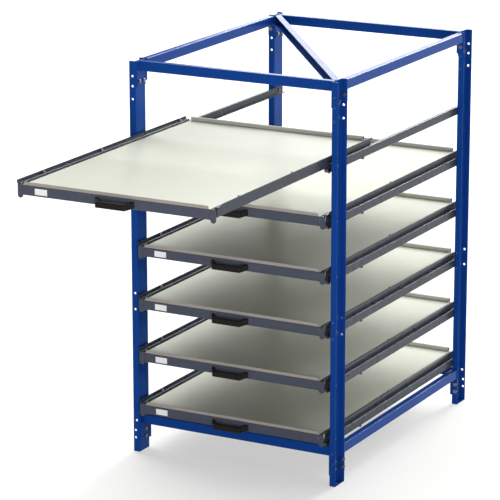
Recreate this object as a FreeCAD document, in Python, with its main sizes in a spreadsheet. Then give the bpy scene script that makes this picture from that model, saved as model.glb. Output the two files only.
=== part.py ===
import FreeCAD, Part
import math
import os
import re

import Sketcher

# Pull-out shelf rack: a bolted post frame with six drawers on rollers.
# X is the width, Y the depth with the front at -Y, Z is up from the floor.
# The origin is the middle of the footprint.

DRAWERS = 6
PULLED_OUT = 1

SIZES = (
    ("rack_width", 1020, "frame, outside"),
    ("rack_depth", 1390, "frame, outside"),
    ("rack_height", 1800, "post, floor to top"),
    ("post_flange", 30, "post section along X"),
    ("post_depth", 90, "post section along Y"),
    ("post_wall", 3, "post sheet"),
    ("post_bend", 3.5, "post outside bend, cut straight"),
    ("post_hole", 11, "diameter of the spare holes and frame bolt holes"),
    ("spare_row", 14, "spare holes, from the inner face of the web"),
    ("bolt_row", 20, "lower flange bolts, from the inner face of the web"),
    ("spare_low", 149, "height of the lowest spare hole"),
    ("spare_mid", 672, "height of the lower middle spare hole"),
    ("spare_mid_step", 74, "from the lower to the upper middle spare hole"),
    ("spare_top", 112, "second spare hole below the post's top"),
    ("spare_third", 170, "third spare hole below the post's top"),
    ("foot_sheet", 4, "foot plate thickness"),
    ("anchor_hole", 12, "diameter of the floor anchor hole"),
    ("rail_width", 32, "frame rail tube"),
    ("rail_height", 44, "frame rail tube"),
    ("rail_wall", 2, "frame rail tube"),
    ("rail_drop", 3, "top rails below the post's top"),
    ("low_rail", 128, "underside of the bottom rails"),
    ("plate_sheet", 5, "end plates of the frame rails"),
    ("web_plate", 76, "width of the end plates on the webs"),
    ("flange_plate", 35, "width of the end plates on the flanges"),
    ("side_rail_inset", 6, "end plates on the flanges start this far inside the webs"),
    ("top_plate", 111, "height of the top end plates on the webs"),
    ("top_side_plate", 95, "height of the top end plates on the flanges"),
    ("low_plate", 125, "height of the bottom end plates"),
    ("top_bolts", 94, "top web bolts below the post's top"),
    ("top_bolt_pair", 36, "distance between two top web bolts"),
    ("top_side_bolt", 67, "top flange bolt below the post's top"),
    ("low_bolt", 66, "height of the lower bottom bolt"),
    ("low_bolt_step", 35, "from the lower to the upper bottom bolt"),
    ("frame_bolt", 10, "frame bolt diameter"),
    ("frame_bolt_key", 17, "frame bolt head across flats"),
    ("frame_bolt_head", 6.5, "frame bolt head height"),
    ("frame_nut", 8, "frame nut height"),
    ("lowest_runner", 223.5, "top of the lowest runner"),
    ("level_pitch", 244.8, "from one drawer to the next"),
    ("runner_height", 38, "fixed runner section"),
    ("runner_depth", 16, "fixed runner section"),
    ("runner_sheet", 2.5, "fixed runner section"),
    ("runner_setback", 5, "runner ends inside the frame's depth"),
    ("runner_bolt", 8, "runner and stop bolt diameter"),
    ("runner_bolt_key", 13, "runner and stop bolt head across flats"),
    ("runner_bolt_head", 5.3, "runner and stop bolt head height"),
    ("runner_nut", 6.5, "runner nut height"),
    ("hole_play", 1, "bolt hole over bolt diameter"),
    ("stop_reach", 20, "stop bolt above the inside of the runner's floor"),
    ("stop_gap", 0.5, "roller to stop bolt at full travel"),
    ("lug_sheet", 2.5, "roller lug at the runner's front end"),
    ("lug_length", 28, "roller lug along Y, with a half-round lower end"),
    ("front_roller", 24, "front roller diameter"),
    ("front_roller_width", 17, "front roller along X"),
    ("rear_roller", 32, "rear roller diameter"),
    ("rear_roller_width", 10, "rear roller along X"),
    ("rear_roller_inset", 80, "rear roller from the drawer's rear end"),
    ("roller_pin", 10, "roller pin diameter"),
    ("pin_head", 14, "front roller pin head diameter"),
    ("pin_head_sheet", 1.5, "front roller pin head thickness"),
    ("pin_play", 0.4, "roller bore over pin diameter"),
    ("running_gap", 0.3, "drawer rail over the front roller"),
    ("drawer_travel", 955, "closed to fully pulled out"),
    ("front_reach", 20, "closed drawer's front before the frame"),
    ("drawer_setback", 12, "closed drawer's rear end inside the frame's depth"),
    ("slide_gap", 1, "drawer rail beside the roller lug"),
    ("side_rail_width", 22, "drawer side rail, outside to the tray's edge"),
    ("side_rail_rise", 25, "drawer side rail above the runner's top"),
    ("side_rail_drop", 22, "drawer side rail below the runner's top"),
    ("side_rail_sheet", 2.5, "drawer side rail section"),
    ("side_rail_foot", 20, "drawer side rail, flange on the roller"),
    ("ledge", 14, "drawer side rail, ledge under the tray"),
    ("tray_rise", 12, "tray's underside above the runner's top"),
    ("bar_depth", 30, "cross bars under the tray, along Y"),
    ("bar_wall", 2, "cross bars under the tray"),
    ("beam_depth", 30, "front beam section"),
    ("beam_drop", 30, "front beam below the runner's top"),
    ("beam_sheet", 2, "front beam section"),
    ("end_sheet", 4, "end bracket of the front beam"),
    ("end_drop", 43, "end bracket below the runner's top"),
    ("end_width", 25, "end bracket along X, with a half-round lower end"),
    ("tray_sheet", 2, "tray"),
    ("tray_lip", 12, "tray lips above the tray's underside"),
    ("tray_gap", 1, "tray beside the side rails"),
    ("lip_cut", 8, "tray lips, end corners, cut straight"),
    ("grip_base", 186, "handle at the beam, along X"),
    ("grip_front", 144, "handle bar, along X"),
    ("grip_reach", 42, "handle in front of the beam"),
    ("grip_height", 31, "handle along Z"),
    ("grip_bar", 12, "handle bar along Y"),
    ("grip_leg", 16, "handle legs along X"),
    ("grip_drop", 30, "handle's underside below the runner's top"),
    ("grip_corner", 6, "handle corners in plan, cut straight"),
    ("grip_edge", 3, "handle edges, cut straight"),
)

doc = FreeCAD.newDocument("pull_out_rack")
sheet = doc.addObject("Spreadsheet::Sheet", "sizes")
for row, (alias, number, note) in enumerate(SIZES, start=1):
    sheet.set(f"A{row}", note)
    sheet.set(f"B{row}", str(number))
    sheet.setAlias(f"B{row}", alias)
doc.recompute()

# Lengths that several pieces share, written with the sheet's names.
WEB_FACE = "rack_width / 2 - post_flange"
FRONT = "-rack_depth / 2"
RUNNER_TIP = f"{WEB_FACE} - runner_depth"
LUG_FACE = f"{RUNNER_TIP} - lug_sheet"
RAIL_OUT = f"{LUG_FACE} - slide_gap"
RAIL_IN = f"{RAIL_OUT} - side_rail_width"
DRAWER_FRONT = f"{FRONT} - front_reach"
LEDGE = "tray_rise - side_rail_sheet"
DRAWER_REAR = "rack_depth / 2 - drawer_setback"
AXLE_DROP = "side_rail_drop + running_gap + front_roller / 2"
AXLE_SETBACK = "runner_setback + lug_length / 2"
LOW_BOLTS = ("low_bolt", "low_bolt + low_bolt_step")

# Edges and faces closer than this are the same.
CLOSE = 0.01

# Sides of the round forms that repeat.
ROLLER_SIDES = 12
SPARE_SIDES = 8
PIN_SIDES = 6
BOLT_SIDES = 4
HALF_STEPS = 5

nodes = {}


def linked(text):
    """Put the sheet's name before every alias of an expression."""
    return re.sub(r"[a-z][a-z_]*", r"sizes.\g<0>", text)


def number(text):
    """The value of an expression in the sheet's names."""
    return float(sheet.evalExpression(linked(text)))


def size(alias):
    return float(sheet.get(alias))


def bind(thing, prop, text):
    thing.setExpression(prop, linked(text))


def place(thing, x=None, y=None, z=None):
    """Set a place that follows the sheet."""
    for axis, text in (("x", x), ("y", y), ("z", z)):
        if text is not None:
            bind(thing, f"Placement.Base.{axis}", text)
    return thing


def keep(name, thing):
    """Make an object one of the sub-parts that are written out."""
    thing.Label = name
    nodes[name] = thing
    return thing


def seat(level):
    """Height of a level's runner tops, counted from the top drawer."""
    return f"lowest_runner + {DRAWERS - level} * level_pitch"


def hold_point(sketch, curve, corner, across, up):
    """Hold a sketch point by its two distances from the origin; a zero puts it on an axis."""
    for kind, axis, text in (("DistanceX", -2, across), ("DistanceY", -1, up)):
        if text == "0":
            sketch.addConstraint(Sketcher.Constraint("PointOnObject", curve, corner, axis))
            continue
        index = sketch.addConstraint(Sketcher.Constraint(kind, -1, 1, curve, corner, number(text)))
        bind(sketch, f"Constraints[{index}]", text)


def draw_outline(sketch, outline):
    """Draw a closed outline of straight lines."""
    points = [FreeCAD.Vector(number(across), number(up), 0) for across, up in outline]
    lines = []
    for start, end in zip(points, points[1:] + points[:1]):
        lines.append(sketch.addGeometry(Part.LineSegment(start, end), False))
    for line, after in zip(lines, lines[1:] + lines[:1]):
        sketch.addConstraint(Sketcher.Constraint("Coincident", line, 2, after, 1))
    for line, (across, up) in zip(lines, outline):
        hold_point(sketch, line, 1, across, up)


def draw_circle(sketch, across, up, radius):
    centre = FreeCAD.Vector(number(across), number(up), 0)
    circle = Part.Circle(centre, FreeCAD.Vector(0, 0, 1), number(radius))
    curve = sketch.addGeometry(circle, False)
    index = sketch.addConstraint(Sketcher.Constraint("Radius", curve, number(radius)))
    bind(sketch, f"Constraints[{index}]", radius)
    hold_point(sketch, curve, 3, across, up)


def draw(body, plane, outlines=(), circles=()):
    """Add a sketch on one of the body's own origin planes."""
    sketch = body.newObject("Sketcher::SketchObject", "outline")
    support = [item for item in body.Origin.OriginFeatures if item.Role == f"{plane}_Plane"]
    sketch.AttachmentSupport = [(support[0], "")]
    sketch.MapMode = "FlatFace"
    for outline in outlines:
        draw_outline(sketch, outline)
    for circle in circles:
        draw_circle(sketch, *circle)
    return sketch


def corner_point(across, up, radius, angle):
    """A point at an angle round a centre."""
    turn = math.radians(angle)
    return f"{across} + ({radius}) * ({math.cos(turn):.6f})", f"{up} + ({radius}) * ({math.sin(turn):.6f})"


def polygon(across, up, radius, sides):
    """The outline of a regular form with its corners on a circle."""
    return [corner_point(across, up, radius, 360 * step / sides) for step in range(sides)]


def half_round(across, up, radius):
    """The lower half of such a form, from its left end to its right end."""
    return [corner_point(across, up, radius, 180 + 180 * step / HALF_STEPS) for step in range(HALF_STEPS + 1)]


def hole(across, up, diameter, sides=BOLT_SIDES):
    """The outline of a hole with flat sides that a round bar of the diameter just fills."""
    return polygon(across, up, f"({diameter}) / 2 / {math.cos(math.pi / sides):.6f}", sides)


def pad(plane, length, outlines=(), circles=(), backwards=False):
    """A body padded from a sketch; XY pads up, YZ to +X and XZ to -Y unless backwards."""
    body = doc.addObject("PartDesign::Body", "body")
    feature = body.newObject("PartDesign::Pad", "pad")
    feature.Profile = draw(body, plane, outlines, circles)
    bind(feature, "Length", length)
    feature.Reversed = backwards
    body.Tip = feature
    return body


def drill(body, plane, outlines, backwards=False):
    """Cut holes through a body, away from the plane that they are drawn on."""
    doc.recompute()
    before = body.Shape.Volume
    feature = body.newObject("PartDesign::Pocket", "holes")
    feature.Profile = draw(body, plane, outlines)
    feature.Type = 1
    feature.Reversed = backwards
    body.Tip = feature
    doc.recompute()
    if body.Shape.Volume >= before:
        raise RuntimeError(f"holes on {plane} cut nothing")
    return body


def bevel(body, chosen, width):
    """Cut the edges of the body's last feature that a test picks."""
    doc.recompute()
    base = body.Tip
    names = [f"Edge{count}" for count, edge in enumerate(base.Shape.Edges, 1) if chosen(edge)]
    if not names:
        raise RuntimeError(f"no edge to cut on {body.Name}")
    feature = body.newObject("PartDesign::Chamfer", "bevel")
    feature.Base = (base, names)
    bind(feature, "Size", width)
    body.Tip = feature
    return body


def is_along(edge, axis):
    """Whether a straight edge runs along an axis."""
    if edge.Curve.TypeId != "Part::GeomLine":
        return False
    return edge.Curve.Direction.cross(axis).Length < CLOSE


def pin(diameter, length, x, y, z):
    """A bar along X from its left end."""
    return place(pad("YZ", length, [polygon(y, z, f"{diameter} / 2", PIN_SIDES)]), x=x)


def fuse(*things):
    joined = doc.addObject("Part::MultiFuse", "joined")
    joined.Shapes = list(things)
    return joined


def cut(thing, tool):
    left = doc.addObject("Part::Cut", "left")
    left.Base = thing
    left.Tool = tool
    return left


def mirror(thing, axis):
    """The same piece on the other side of the rack's middle."""
    other = doc.addObject("Part::Mirroring", "mirrored")
    other.Source = thing
    other.Base = FreeCAD.Vector(0, 0, 0)
    other.Normal = axis
    return other


def group(*things):
    """Separate solids that share one sub-part."""
    pieces = doc.addObject("Part::Compound", "pieces")
    pieces.Links = list(things)
    return pieces


def scatter(shape, places):
    """One sub-part of equal solids at many places."""
    copies = doc.addObject("Part::Feature", "copies")
    copies.Shape = Part.Compound([shape.copy().transformGeometry(spot.toMatrix()) for spot in places])
    return copies


X_AXIS = FreeCAD.Vector(1, 0, 0)
Y_AXIS = FreeCAD.Vector(0, 1, 0)
Z_AXIS = FreeCAD.Vector(0, 0, 1)


# Posts: lipless channels, open to the outside, with spare holes in both flanges.
def make_post():
    body = pad("XY", "rack_height", [[
        ("0", "post_bend"),
        ("post_bend", "0"),
        ("post_flange", "0"),
        ("post_flange", "post_wall"),
        ("post_wall", "post_wall"),
        ("post_wall", "post_depth - post_wall"),
        ("post_flange", "post_depth - post_wall"),
        ("post_flange", "post_depth"),
        ("post_bend", "post_depth"),
        ("0", "post_depth - post_bend"),
    ]])
    spare_heights = (
        "spare_low",
        "spare_mid",
        "spare_mid + spare_mid_step",
        "rack_height - spare_third",
        "rack_height - spare_top",
    )
    holes = [hole("spare_row", height, "post_hole", SPARE_SIDES) for height in spare_heights]
    holes.append(hole("spare_row", "rack_height - top_side_bolt", "post_hole"))
    holes += [hole("bolt_row", height, "post_hole") for height in LOW_BOLTS]
    drill(body, "XZ", holes)
    middle = "post_depth / 2"
    holes = [hole(middle, height, "post_hole") for height in LOW_BOLTS]
    for side in ("-", "+"):
        holes.append(hole(f"{middle} {side} top_bolt_pair / 2", "rack_height - top_bolts", "post_hole"))
    for level in range(1, DRAWERS + 1):
        holes.append(hole(middle, f"{seat(level)} - runner_height / 2", "runner_bolt + hole_play"))
    drill(body, "YZ", holes, backwards=True)
    return place(body, x=WEB_FACE, y=FRONT)


post = keep("post_front_right", make_post())
keep("post_front_left", mirror(post, X_AXIS))
rear_post = keep("post_rear_right", mirror(post, Y_AXIS))
keep("post_rear_left", mirror(rear_post, X_AXIS))

# Foot plates close the posts' lower ends and take the floor anchors.
foot = pad("XY", "foot_sheet", [[
    ("post_wall", "post_wall"),
    ("post_flange", "post_wall"),
    ("post_flange", "post_depth - post_wall"),
    ("post_wall", "post_depth - post_wall"),
]], [("(post_flange + post_wall) / 2", "post_depth / 2", "anchor_hole / 2")])
place(foot, x=WEB_FACE, y=FRONT)
rear_foot = mirror(foot, Y_AXIS)
keep("foot_plates", group(foot, mirror(foot, X_AXIS), rear_foot, mirror(rear_foot, X_AXIS)))


# Frame rails: rectangular tubes with a welded end plate at each end.
def make_tube(plane, length, across, up, backwards=False):
    """A rail tube from the middle and the underside of its section."""
    half = "rail_width / 2"
    outlines = []
    for wall in ("0", "rail_wall"):
        outlines.append([
            (f"{across} - {half} + {wall}", f"{up} + {wall}"),
            (f"{across} + {half} - {wall}", f"{up} + {wall}"),
            (f"{across} + {half} - {wall}", f"{up} + rail_height - {wall}"),
            (f"{across} - {half} + {wall}", f"{up} + rail_height - {wall}"),
        ])
    return pad(plane, length, outlines, backwards=backwards)


def cross_rail(rail_base, plate_base, plate_height, holes):
    """A rail along X between the webs of two posts, in the front."""
    middle = f"{FRONT} + post_depth / 2"
    half = f"{WEB_FACE} - plate_sheet"
    tube = place(make_tube("YZ", f"2 * ({half})", middle, rail_base), x=f"-({half})")
    outline = [
        (f"{middle} - web_plate / 2", plate_base),
        (f"{middle} + web_plate / 2", plate_base),
        (f"{middle} + web_plate / 2", f"{plate_base} + {plate_height}"),
        (f"{middle} - web_plate / 2", f"{plate_base} + {plate_height}"),
    ]
    bolts = [hole(f"{middle} {shift}", height, "post_hole") for shift, height in holes]
    plate = place(pad("YZ", "plate_sheet", [outline, *bolts]), x=half)
    return group(tube, plate, mirror(plate, X_AXIS))


def side_rail(rail_base, plate_base, plate_height, holes):
    """A rail along Y between the flanges of two posts, on the right."""
    start = f"{WEB_FACE} - side_rail_inset"
    half = "rack_depth / 2 - post_depth - plate_sheet"
    middle = f"{start} + rail_width / 2"
    tube = make_tube("XZ", f"2 * ({half})", middle, rail_base, backwards=True)
    place(tube, y=f"-({half})")
    outline = [
        (start, plate_base),
        (f"{start} + flange_plate", plate_base),
        (f"{start} + flange_plate", f"{plate_base} + {plate_height}"),
        (start, f"{plate_base} + {plate_height}"),
    ]
    bolts = [hole(f"{WEB_FACE} + {shift}", height, "post_hole") for shift, height in holes]
    plate = place(pad("XZ", "plate_sheet", [outline, *bolts]), y=f"-({half})")
    return group(tube, plate, mirror(plate, Y_AXIS))


TOP_RAIL = "rack_height - rail_drop - rail_height"
LOW_PLATE = "low_rail + rail_height - low_plate"

front_top = keep("top_rail_front", cross_rail(
    TOP_RAIL, "rack_height - rail_drop - top_plate", "top_plate",
    [(f"{side} top_bolt_pair / 2", "rack_height - top_bolts") for side in ("-", "+")]))
keep("top_rail_rear", mirror(front_top, Y_AXIS))
right_top = keep("top_rail_right", side_rail(
    TOP_RAIL, "rack_height - rail_drop - top_side_plate", "top_side_plate",
    [("spare_row", "rack_height - top_side_bolt")]))
keep("top_rail_left", mirror(right_top, X_AXIS))

front_low = keep("bottom_rail_front", cross_rail(
    "low_rail", LOW_PLATE, "low_plate", [("", height) for height in LOW_BOLTS]))
keep("bottom_rail_rear", mirror(front_low, Y_AXIS))
right_low = keep("bottom_rail_right", side_rail(
    "low_rail", LOW_PLATE, "low_plate", [("bolt_row", height) for height in LOW_BOLTS]))
keep("bottom_rail_left", mirror(right_low, X_AXIS))


# Diagonal brace: a channel across the top, open to the front left, cut to fit two opposite corners.
def make_brace():
    half = "rail_width / 2"
    top = f"{TOP_RAIL} + rail_height"
    channel = pad("YZ", "2 * (rack_width + rack_depth)", [[
        (f"-({half})", TOP_RAIL),
        (half, TOP_RAIL),
        (half, top),
        (f"-({half})", top),
        (f"-({half})", f"{top} - rail_wall"),
        (f"{half} - rail_wall", f"{top} - rail_wall"),
        (f"{half} - rail_wall", f"{TOP_RAIL} + rail_wall"),
        (f"-({half})", f"{TOP_RAIL} + rail_wall"),
    ]])
    half_x = number(f"{WEB_FACE} - plate_sheet")
    half_y = number("(rack_depth - post_depth - rail_width) / 2")
    reach = math.hypot(half_x, half_y)
    turn = FreeCAD.Rotation(Z_AXIS, -math.degrees(math.atan2(half_y, half_x)))
    length = number("rack_width + rack_depth")
    start = FreeCAD.Vector(-half_x / reach * length, half_y / reach * length, 0)
    channel.Placement = FreeCAD.Placement(start, turn)
    corners = doc.addObject("Part::Box", "corners")
    bind(corners, "Length", f"2 * ({WEB_FACE} - plate_sheet)")
    bind(corners, "Width", "rack_depth - post_depth - rail_width")
    bind(corners, "Height", "rack_height")
    place(corners, x=f"-({WEB_FACE} - plate_sheet)", y="-(rack_depth - post_depth - rail_width) / 2")
    brace = doc.addObject("Part::Common", "brace")
    brace.Base = channel
    brace.Tool = corners
    return brace


keep("top_brace", make_brace())


# Fasteners: hexagon bolts with their nuts, along X from under the head.
def hexagon(across_flats):
    corner = across_flats / math.sqrt(3)
    turns = [math.radians(60 * step) for step in range(6)]
    points = [FreeCAD.Vector(0, corner * math.cos(turn), corner * math.sin(turn)) for turn in turns]
    return Part.Face(Part.makePolygon(points + points[:1]))


def fastener(diameter, key, head, grip, nut):
    """A bolt whose head ends at X = 0 and whose nut starts at the grip."""
    edge = diameter / math.sqrt(2)
    shank = Part.makeBox(grip, edge, edge, FreeCAD.Vector(0, -edge / 2, -edge / 2))
    solid = hexagon(key).extrude(X_AXIS * -head).fuse(shank)
    if nut:
        ring = hexagon(key).extrude(X_AXIS * nut)
        ring.translate(X_AXIS * grip)
        solid = solid.fuse(ring)
    return solid.removeSplitter()


def spots(x, y, z, turn):
    """A place and its mirror images in the four corners, with the bolt turned to match."""
    found = []
    for side in (1, -1):
        for end in (1, -1):
            sign = side if turn == "x" else end
            angle = (0 if sign > 0 else 180) if turn == "x" else 90 * sign
            spot = FreeCAD.Vector(side * x, end * y, z)
            found.append(FreeCAD.Placement(spot, FreeCAD.Rotation(Z_AXIS, angle)))
    return found


def frame_fasteners():
    web_x = number(f"{WEB_FACE} - plate_sheet")
    web_y = number("rack_depth / 2 - post_depth / 2")
    flange_y = number("rack_depth / 2 - post_depth - plate_sheet")
    pair = size("top_bolt_pair") / 2
    places = []
    for shift in (-pair, pair):
        places += spots(web_x, web_y + shift, number("rack_height - top_bolts"), "x")
    places += spots(number(f"{WEB_FACE} + spare_row"), flange_y, number("rack_height - top_side_bolt"), "y")
    for height in LOW_BOLTS:
        places += spots(web_x, web_y, number(height), "x")
        places += spots(number(f"{WEB_FACE} + bolt_row"), flange_y, number(height), "y")
    shape = fastener(size("frame_bolt"), size("frame_bolt_key"), size("frame_bolt_head"),
                     number("plate_sheet + post_wall"), size("frame_nut"))
    return scatter(shape, places)


def runner_fasteners():
    places = []
    for level in range(1, DRAWERS + 1):
        places += spots(number(f"{WEB_FACE} - runner_sheet"), number("rack_depth / 2 - post_depth / 2"),
                        number(f"{seat(level)} - runner_height / 2"), "x")
    shape = fastener(size("runner_bolt"), size("runner_bolt_key"), size("runner_bolt_head"),
                     number("runner_sheet + post_wall"), size("runner_nut"))
    return scatter(shape, places)


STOP_Y = (f"{DRAWER_REAR} - rear_roller_inset - drawer_travel - rear_roller / 2"
          " - runner_bolt / 2 - stop_gap")
STOP_X = f"{WEB_FACE} - (runner_depth + runner_sheet) / 2"


def stop_fasteners():
    """Bolts that stand up into the runners and stop the rear rollers."""
    upright = FreeCAD.Rotation(Y_AXIS, -90)
    places = []
    for level in range(1, DRAWERS + 1):
        height = number(f"{seat(level)} - runner_height")
        for side in (1, -1):
            spot = FreeCAD.Vector(side * number(STOP_X), number(STOP_Y), height)
            places.append(FreeCAD.Placement(spot, upright))
    shape = fastener(size("runner_bolt"), size("runner_bolt_key"), size("runner_bolt_head"),
                     number("runner_sheet + stop_reach"), 0)
    return scatter(shape, places)


keep("frame_bolts", frame_fasteners())
keep("runner_bolts", runner_fasteners())
keep("stop_bolts", stop_fasteners())


# Fixed runners: channels open to the middle, with a roller lug and pin at the front.
def make_runner():
    body = pad("XZ", "rack_depth - 2 * runner_setback", [[
        (WEB_FACE, "0"),
        (RUNNER_TIP, "0"),
        (RUNNER_TIP, "-runner_sheet"),
        (f"{WEB_FACE} - runner_sheet", "-runner_sheet"),
        (f"{WEB_FACE} - runner_sheet", "-(runner_height - runner_sheet)"),
        (RUNNER_TIP, "-(runner_height - runner_sheet)"),
        (RUNNER_TIP, "-runner_height"),
        (WEB_FACE, "-runner_height"),
    ]], backwards=True)
    bolt_hole = ("-runner_height / 2", "runner_bolt + hole_play")
    drill(body, "YZ", [
        hole("post_depth / 2 - runner_setback", *bolt_hole),
        hole("rack_depth - runner_setback - post_depth / 2", *bolt_hole),
    ], backwards=True)
    place(body, y=f"{FRONT} + runner_setback")
    bit = pad("XY", "2 * runner_sheet", [hole(STOP_X, STOP_Y, "runner_bolt + hole_play")])
    place(bit, z="-runner_height - runner_sheet / 2")
    axle_y = f"{FRONT} + {AXLE_SETBACK}"
    axle_z = f"-({AXLE_DROP})"
    lug = pad("YZ", "lug_sheet", [[
        (f"{axle_y} - lug_length / 2", "0"),
        *half_round(axle_y, axle_z, "lug_length / 2"),
        (f"{axle_y} + lug_length / 2", "0"),
    ]])
    place(lug, x=LUG_FACE)
    inner_end = f"{LUG_FACE} - slide_gap - front_roller_width - slide_gap"
    axle = pin("roller_pin", f"{RUNNER_TIP} - ({inner_end})", inner_end, axle_y, axle_z)
    head = pin("pin_head", "pin_head_sheet", f"{inner_end} - pin_head_sheet", axle_y, axle_z)
    return fuse(cut(body, bit), lug, axle, head)


def make_roller(diameter, width, x, y, z):
    """A roller with a bore for its pin."""
    outline = polygon(y, z, f"{diameter} / 2", ROLLER_SIDES)
    return place(pad("YZ", width, [outline, hole(y, z, "roller_pin + pin_play", PIN_SIDES)]), x=x)


# Drawer side rail: one folded sheet with a hemmed wall, a ledge for the tray and a foot for the roller.
def make_side_rail():
    wall = f"{RAIL_OUT} - side_rail_sheet"
    hem = f"{RAIL_OUT} - 2 * side_rail_sheet"
    foot_top = "-(side_rail_drop - side_rail_sheet)"
    body = pad("XZ", f"{DRAWER_REAR} - ({DRAWER_FRONT}) - end_sheet", [[
        (f"{RAIL_IN} - ledge", LEDGE),
        (wall, LEDGE),
        (wall, foot_top),
        (f"{RAIL_OUT} - side_rail_foot", foot_top),
        (f"{RAIL_OUT} - side_rail_foot", "-side_rail_drop"),
        (RAIL_OUT, "-side_rail_drop"),
        (RAIL_OUT, "side_rail_rise"),
        (hem, "side_rail_rise"),
        (hem, "tray_rise"),
        (f"{RAIL_IN} - ledge", "tray_rise"),
    ]], backwards=True)
    place(body, y=f"{DRAWER_FRONT} + end_sheet")
    axle = pin("roller_pin", f"{WEB_FACE} - 2 * runner_sheet - ({wall})", wall,
               f"{DRAWER_REAR} - rear_roller_inset", "-runner_height / 2")
    return fuse(body, axle)


def make_cross_bar(y):
    """A tube between the two side rails, under the tray."""
    half = f"{RAIL_OUT} - side_rail_sheet"
    low = "-(side_rail_drop - side_rail_sheet)"
    outlines = []
    for wall in ("0", "bar_wall"):
        outlines.append([
            (f"{y} + {wall}", f"{low} + {wall}"),
            (f"{y} + bar_depth - {wall}", f"{low} + {wall}"),
            (f"{y} + bar_depth - {wall}", f"{LEDGE} - {wall}"),
            (f"{y} + {wall}", f"{LEDGE} - {wall}"),
        ])
    return place(pad("YZ", f"2 * ({half})", outlines), x=f"-({half})")


# Front beam: a folded channel with an upstand, and a hanging bracket at each end.
def make_front_beam():
    back = f"{DRAWER_FRONT} + beam_depth"
    skin = f"{DRAWER_FRONT} + beam_sheet"
    beam = pad("YZ", f"2 * ({RAIL_IN})", [[
        (DRAWER_FRONT, "-beam_drop"),
        (back, "-beam_drop"),
        (back, "-(beam_drop - beam_sheet)"),
        (skin, "-(beam_drop - beam_sheet)"),
        (skin, f"{LEDGE} - beam_sheet"),
        (back, f"{LEDGE} - beam_sheet"),
        (back, LEDGE),
        (skin, LEDGE),
        (skin, "tray_rise"),
        (DRAWER_FRONT, "tray_rise"),
    ]])
    place(beam, x=f"-({RAIL_IN})")
    bracket = pad("XZ", "end_sheet", [[
        (RAIL_IN, LEDGE),
        *half_round(f"{RAIL_IN} + end_width / 2", "-(end_drop - end_width / 2)", "end_width / 2"),
        (f"{RAIL_IN} + end_width", LEDGE),
    ]], backwards=True)
    place(bracket, y=DRAWER_FRONT)
    return fuse(beam, bracket, mirror(bracket, X_AXIS))


# Tray: one sheet with a low lip at the front and rear, cut at the lips' ends.
def make_tray():
    half = f"{RAIL_IN} - tray_gap"
    top = "tray_rise + tray_lip"
    floor = "tray_rise + tray_sheet"
    body = pad("YZ", f"2 * ({half})", [[
        (DRAWER_FRONT, "tray_rise"),
        (DRAWER_REAR, "tray_rise"),
        (DRAWER_REAR, top),
        (f"{DRAWER_REAR} - tray_sheet", top),
        (f"{DRAWER_REAR} - tray_sheet", floor),
        (f"{DRAWER_FRONT} + tray_sheet", floor),
        (f"{DRAWER_FRONT} + tray_sheet", top),
        (DRAWER_FRONT, top),
    ]])
    height = number(top)

    def is_lip_end(edge):
        return is_along(edge, Y_AXIS) and abs(edge.CenterOfMass.z - height) < CLOSE

    bevel(body, is_lip_end, "lip_cut")
    return place(body, x=f"-({half})")


# Handle: a moulded bow whose legs spread towards the beam.
def make_handle():
    front = f"{DRAWER_FRONT} - grip_reach"
    inner = f"{front} + grip_bar"
    body = pad("XY", "grip_height", [[
        ("-grip_base / 2", DRAWER_FRONT),
        ("-grip_front / 2", front),
        ("grip_front / 2", front),
        ("grip_base / 2", DRAWER_FRONT),
        ("grip_base / 2 - grip_leg", DRAWER_FRONT),
        ("grip_front / 2 - grip_bar", inner),
        ("-(grip_front / 2 - grip_bar)", inner),
        ("-(grip_base / 2 - grip_leg)", DRAWER_FRONT),
    ]])
    back = number(DRAWER_FRONT)
    tip = number(front)

    def is_corner(edge):
        return is_along(edge, Z_AXIS) and abs(edge.CenterOfMass.y - tip) < CLOSE

    def is_rim(edge):
        return edge.BoundBox.ZLength < CLOSE and abs(edge.CenterOfMass.y - back) > CLOSE

    bevel(body, is_corner, "grip_corner")
    bevel(body, is_rim, "grip_edge")
    return place(body, z="-grip_drop")


for level in range(1, DRAWERS + 1):
    here = {"z": seat(level)}
    inside = dict(here)
    if level == PULLED_OUT:
        inside["y"] = "-drawer_travel"

    runner = make_runner()
    keep(f"runners_{level}", place(group(runner, mirror(runner, X_AXIS)), **here))
    roller = make_roller(
        "front_roller", "front_roller_width", f"{LUG_FACE} - slide_gap - front_roller_width",
        f"{FRONT} + {AXLE_SETBACK}", f"-({AXLE_DROP})")
    keep(f"front_rollers_{level}", place(group(roller, mirror(roller, X_AXIS)), **here))

    side = make_side_rail()
    middle_bar = make_cross_bar("-(bar_depth / 2)")
    rear_bar = make_cross_bar(f"{DRAWER_REAR} - bar_depth")
    keep(f"side_rails_{level}", place(group(side, mirror(side, X_AXIS), middle_bar, rear_bar), **inside))
    keep(f"front_beam_{level}", place(make_front_beam(), **inside))
    keep(f"tray_{level}", place(group(make_tray()), **inside))
    keep(f"handle_{level}", place(group(make_handle()), **inside))
    roller = make_roller(
        "rear_roller", "rear_roller_width", f"{STOP_X} - rear_roller_width / 2",
        f"{DRAWER_REAR} - rear_roller_inset", "-runner_height / 2")
    keep(f"rear_rollers_{level}", place(group(roller, mirror(roller, X_AXIS)), **inside))

doc.recompute()
for thing in doc.Objects:
    if "Invalid" in thing.State or "Error" in thing.State:
        raise RuntimeError(f"{thing.Label} did not build")
for name, thing in nodes.items():
    if thing.Shape.isNull() or not thing.Shape.isValid():
        raise RuntimeError(f"{name} has no valid shape")

os.makedirs("parts", exist_ok=True)
for name, thing in nodes.items():
    thing.Shape.exportStep(os.path.join("parts", f"{name}.step"))
print(len(nodes), "sub-parts written")
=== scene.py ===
import math

import bmesh
import bpy
from mathutils import Euler, Matrix, Vector


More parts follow.
